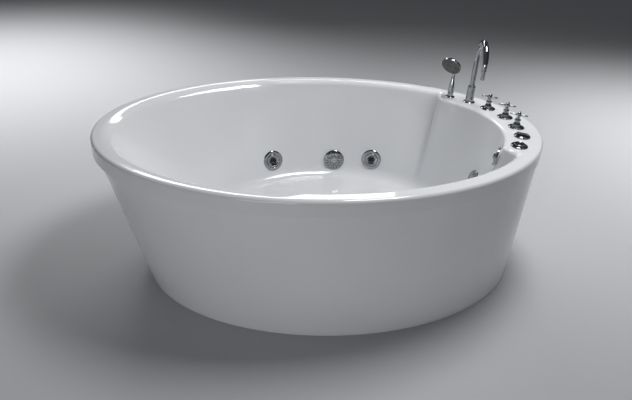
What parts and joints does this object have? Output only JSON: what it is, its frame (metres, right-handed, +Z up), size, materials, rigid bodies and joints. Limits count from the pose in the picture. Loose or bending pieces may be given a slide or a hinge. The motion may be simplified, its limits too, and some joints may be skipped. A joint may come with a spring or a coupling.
{
  "type": "bathtub",
  "caption": "Oval freestanding steel jetted bathtub with a sloping backrest, a crescent tap deck, swan-neck spout, hand shower, cross-handle valves and turning wall jets.",
  "frame": {"origin": "centre of the rim's outline, on the floor", "axes": "+X along the tub towards the tap deck, +Y towards the back, +Z up"},
  "size_m": [1.7, 1.18, 0.885],
  "materials": {
    "enamel": "high gloss white enamel",
    "chrome": "polished",
    "grey_plastic": "satin dark grey",
    "brass": "rough cast and turned",
    "white_plastic": "satin pipe plastic",
    "black_plastic": "satin moulded",
    "motor_paint": "painted casting",
    "frame_steel": "zinc plated",
    "rubber": "matte",
    "bare_steel": "ground"
  },
  "bodies": {
    "tub": {"tub_shell": "enamel", "tub_floor": "enamel", "skirt": "enamel", "spout_flange": "chrome", "spout_body": "chrome", "shower_flange": "chrome", "shower_holder": "chrome", "hot_escutcheon": "chrome", "hot_bonnet": "chrome", "diverter_escutcheon": "chrome", "diverter_bonnet": "chrome", "cold_escutcheon": "chrome", "cold_bonnet": "chrome", "air_control_ring": "chrome", "pump_button_ring": "chrome", "jet_fittings": "chrome", "suction_cover": "chrome", "waste_flange": "chrome", "hot_valve": "brass", "diverter_valve": "brass", "cold_valve": "brass", "tap_pipes": "brass", "deck_nuts": "brass", "jet_bodies": "white_plastic", "suction_body": "white_plastic", "overflow_pipe": "white_plastic", "waste_trap": "white_plastic", "suction_pipe": "white_plastic", "water_pipe": "white_plastic", "air_pipe": "white_plastic", "pump_housing": "black_plastic", "cable_gland": "black_plastic", "pump_motor": "motor_paint", "base_frame": "frame_steel", "levelling_feet": "frame_steel", "support_pads": "rubber"},
    "spout": {"spout_neck": "chrome", "spout_aerator": "chrome"},
    "hand_shower": {"shower_handle": "chrome", "shower_head": "chrome", "spray_plate": "grey_plastic"},
    "hot_tap": {"hot_handle": "chrome"},
    "diverter_tap": {"diverter_handle": "chrome"},
    "cold_tap": {"cold_handle": "chrome"},
    "air_knob": {"air_control_knob": "chrome"},
    "button": {"pump_button": "chrome"},
    "overflow": {"overflow_knob": "chrome"},
    "plug": {"waste_plug": "chrome"},
    "rotor": {"impeller": "black_plastic", "pump_shaft": "bare_steel"},
    "ring_back_left": {"jet_ring_back_left": "chrome"},
    "eyeball_back_left": {"jet_eyeball_back_left": "grey_plastic"},
    "ring_back_right": {"jet_ring_back_right": "chrome"},
    "eyeball_back_right": {"jet_eyeball_back_right": "grey_plastic"},
    "ring_front_left": {"jet_ring_front_left": "chrome"},
    "eyeball_front_left": {"jet_eyeball_front_left": "grey_plastic"},
    "ring_front_right": {"jet_ring_front_right": "chrome"},
    "eyeball_front_right": {"jet_eyeball_front_right": "grey_plastic"},
    "ring_deck_end": {"jet_ring_deck_end": "chrome"},
    "eyeball_deck_end": {"jet_eyeball_deck_end": "grey_plastic"}
  },
  "joints": [
    {"name": "spout_swivel", "type": "hinge", "parent": "tub", "child": "spout", "pos_m": [0.67655, 0.23098, 0.6], "axis": [0, 0, 1], "range_deg": [-75, 45]},
    {"name": "shower_lift", "type": "slide", "parent": "tub", "child": "hand_shower", "axis": [0, 0, 1], "range_m": [0, 0.25]},
    {"name": "hot_turn", "type": "hinge", "parent": "tub", "child": "hot_tap", "pos_m": [0.7275, 0.14933, 0.6], "axis": [0, 0, 1], "range_deg": [0, 90]},
    {"name": "diverter_turn", "type": "hinge", "parent": "tub", "child": "diverter_tap", "pos_m": [0.75845, 0.04838, 0.6], "axis": [0, 0, 1], "range_deg": [0, 90]},
    {"name": "cold_turn", "type": "hinge", "parent": "tub", "child": "cold_tap", "pos_m": [0.75709, -0.05693, 0.6], "axis": [0, 0, 1], "range_deg": [-90, 0]},
    {"name": "air_turn", "type": "hinge", "parent": "tub", "child": "air_knob", "pos_m": [0.73634, -0.14914, 0.6], "axis": [0, 0, 1], "range_deg": [0, 180]},
    {"name": "button_press", "type": "slide", "parent": "tub", "child": "button", "axis": [0, 0, -1], "range_m": [0, 0.003], "stiffness_N_per_m": 800, "springref_m": -0.004},
    {"name": "overflow_turn", "type": "hinge", "parent": "tub", "child": "overflow", "pos_m": [0.6266, -0.21087, 0.546], "axis": [-0.8355, 0.528, 0.152], "range_deg": [0, 100]},
    {"name": "plug_lift", "type": "slide", "parent": "tub", "child": "plug", "axis": [0, 0, 1], "range_m": [0, 0.0101]},
    {"name": "pump_turn", "type": "hinge", "parent": "tub", "child": "rotor", "pos_m": [-0.57, 0, 0.16], "axis": [0, 1, 0], "continuous": true},
    {"name": "ring_turn_back_left", "type": "hinge", "parent": "tub", "child": "ring_back_left", "pos_m": [-0.15952, 0.43125, 0.24], "axis": [0.2915, -0.9263, 0.2388], "range_deg": [-90, 90]},
    {"name": "eyeball_tilt_back_left", "type": "hinge", "parent": "ring_back_left", "child": "eyeball_back_left", "pos_m": [-0.16011, 0.4331, 0.23952], "axis": [0.9539, 0.3002, 0], "range_deg": [-15, 15]},
    {"name": "ring_turn_back_right", "type": "hinge", "parent": "tub", "child": "ring_back_right", "pos_m": [0.3176, 0.41842, 0.24], "axis": [-0.3507, -0.9195, 0.1774], "range_deg": [-90, 90]},
    {"name": "eyeball_tilt_back_right", "type": "hinge", "parent": "ring_back_right", "child": "eyeball_back_right", "pos_m": [0.3183, 0.42026, 0.23964], "axis": [0.9344, -0.3563, 0], "range_deg": [-15, 15]},
    {"name": "ring_turn_front_left", "type": "hinge", "parent": "tub", "child": "ring_front_left", "pos_m": [-0.15952, -0.43125, 0.24], "axis": [0.2915, 0.9263, 0.2388], "range_deg": [-90, 90]},
    {"name": "eyeball_tilt_front_left", "type": "hinge", "parent": "ring_front_left", "child": "eyeball_front_left", "pos_m": [-0.16011, -0.4331, 0.23952], "axis": [-0.9539, 0.3002, 0], "range_deg": [-15, 15]},
    {"name": "ring_turn_front_right", "type": "hinge", "parent": "tub", "child": "ring_front_right", "pos_m": [0.3176, -0.41842, 0.24], "axis": [-0.3507, 0.9195, 0.1774], "range_deg": [-90, 90]},
    {"name": "eyeball_tilt_front_right", "type": "hinge", "parent": "ring_front_right", "child": "eyeball_front_right", "pos_m": [0.3183, -0.42026, 0.23964], "axis": [-0.9344, -0.3563, 0], "range_deg": [-15, 15]},
    {"name": "ring_turn_deck_end", "type": "hinge", "parent": "tub", "child": "ring_deck_end", "pos_m": [0.65025, -0.00908, 0.335], "axis": [-0.9861, 0.0052, 0.1663], "range_deg": [-90, 90]},
    {"name": "eyeball_tilt_deck_end", "type": "hinge", "parent": "ring_deck_end", "child": "eyeball_deck_end", "pos_m": [0.65223, -0.00909, 0.33467], "axis": [-0.0053, -1, 0], "range_deg": [-15, 15]}
  ],
  "couplings": [
    {"joint": "plug_lift", "follows": "overflow_turn", "m_per_rad": 0.00573}
  ]
}
